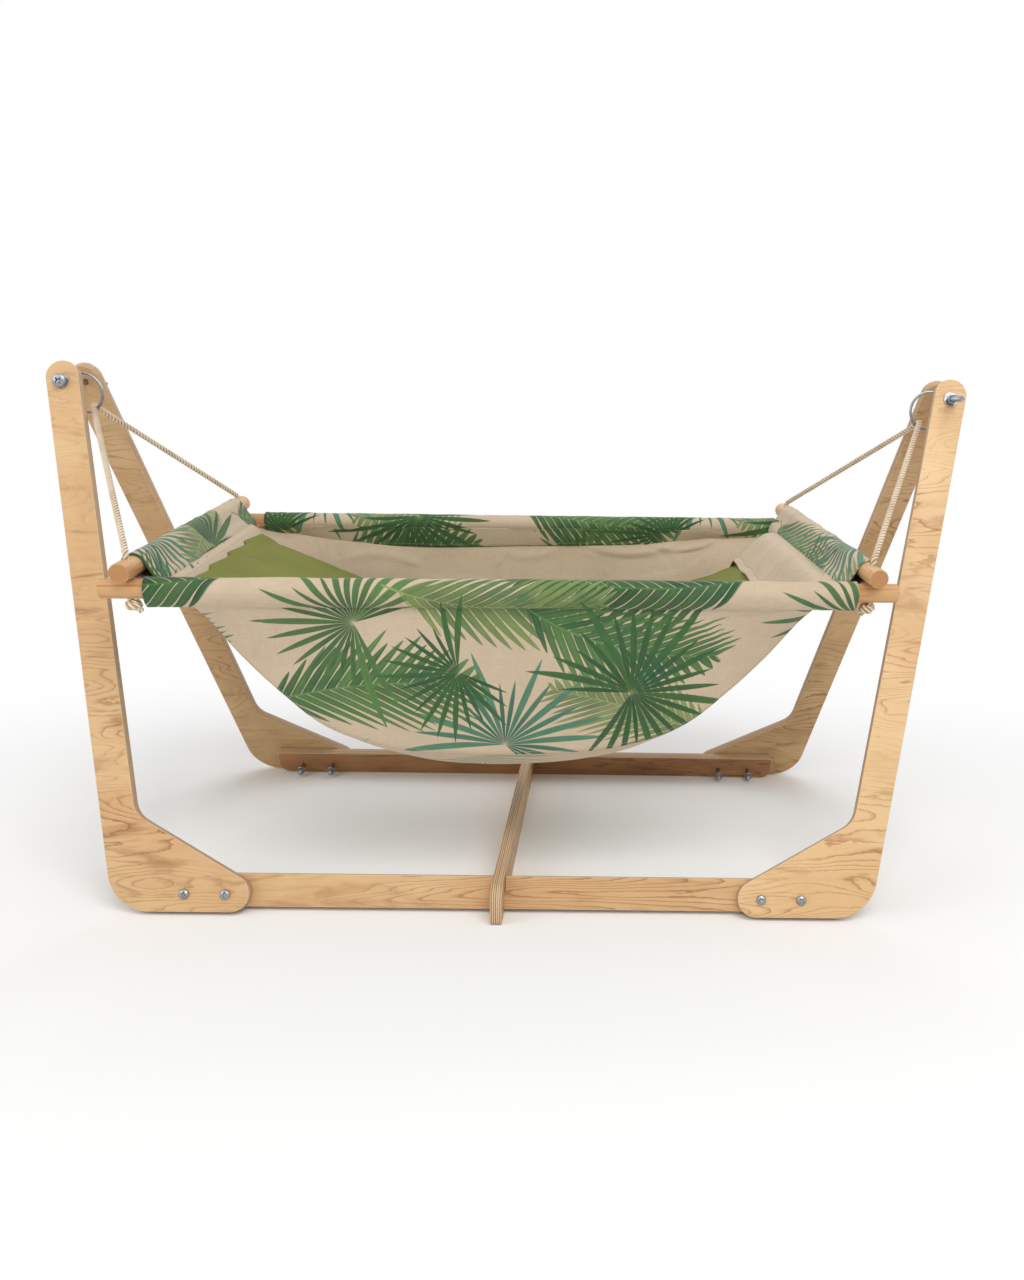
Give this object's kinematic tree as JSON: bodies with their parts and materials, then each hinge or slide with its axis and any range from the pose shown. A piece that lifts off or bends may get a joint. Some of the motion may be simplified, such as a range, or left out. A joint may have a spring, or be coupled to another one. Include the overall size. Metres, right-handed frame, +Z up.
{
  "type": "baby hammock",
  "caption": "Cloth baby hammock on four dowels, hung by two looped ropes and steel rings from an A-shaped plywood stand, with a foam pad inside.",
  "frame": {"origin": "on the floor, under the middle of the stand", "axes": "+X to the right along the sling, +Y to the back, +Z up"},
  "size_m": [1.311, 0.6458, 0.7132],
  "materials": {
    "birch_plywood": "satin",
    "beech": "satin",
    "zinc_steel": "satin",
    "cotton_rope": "matte",
    "printed_linen": "matte",
    "plain_linen": "matte",
    "olive_cover": "matte"
  },
  "bodies": {
    "stand": {"leg_front_left": "birch_plywood", "leg_front_right": "birch_plywood", "leg_back_left": "birch_plywood", "leg_back_right": "birch_plywood", "rail_front": "birch_plywood", "rail_back": "birch_plywood", "cross_brace": "birch_plywood", "rail_bolt_front_1": "zinc_steel", "rail_washer_front_1": "zinc_steel", "rail_nut_front_1": "zinc_steel", "rail_bolt_front_2": "zinc_steel", "rail_washer_front_2": "zinc_steel", "rail_nut_front_2": "zinc_steel", "rail_bolt_front_3": "zinc_steel", "rail_washer_front_3": "zinc_steel", "rail_nut_front_3": "zinc_steel", "rail_bolt_front_4": "zinc_steel", "rail_washer_front_4": "zinc_steel", "rail_nut_front_4": "zinc_steel", "pivot_washer_front_left": "zinc_steel", "pivot_washer_front_right": "zinc_steel", "rail_bolt_back_1": "zinc_steel", "rail_washer_back_1": "zinc_steel", "rail_nut_back_1": "zinc_steel", "rail_bolt_back_2": "zinc_steel", "rail_washer_back_2": "zinc_steel", "rail_nut_back_2": "zinc_steel", "rail_bolt_back_3": "zinc_steel", "rail_washer_back_3": "zinc_steel", "rail_nut_back_3": "zinc_steel", "rail_bolt_back_4": "zinc_steel", "rail_washer_back_4": "zinc_steel", "rail_nut_back_4": "zinc_steel", "pivot_washer_back_left": "zinc_steel", "pivot_washer_back_right": "zinc_steel", "pivot_bolt_left": "zinc_steel", "pivot_nut_left": "zinc_steel", "pivot_bolt_right": "zinc_steel", "pivot_nut_right": "zinc_steel"},
    "sling": {"ring_left": "zinc_steel", "rope_left": "cotton_rope", "short_dowel_left": "beech", "sleeve_left": "printed_linen", "end_flap_left": "plain_linen", "ring_right": "zinc_steel", "rope_right": "cotton_rope", "short_dowel_right": "beech", "sleeve_right": "printed_linen", "end_flap_right": "plain_linen", "long_dowel_front": "beech", "sleeve_front": "printed_linen", "side_panel_front": "printed_linen", "long_dowel_back": "beech", "sleeve_back": "printed_linen", "side_panel_back": "printed_linen", "bed_belt": "printed_linen", "mattress": "olive_cover"}
  },
  "joints": [
    {"name": "sling_sway", "type": "hinge", "parent": "stand", "child": "sling", "pos_m": [0, 0, 0.6899], "axis": [0.9998, 0.0189, 0], "range_deg": [-12, 12]}
  ]
}
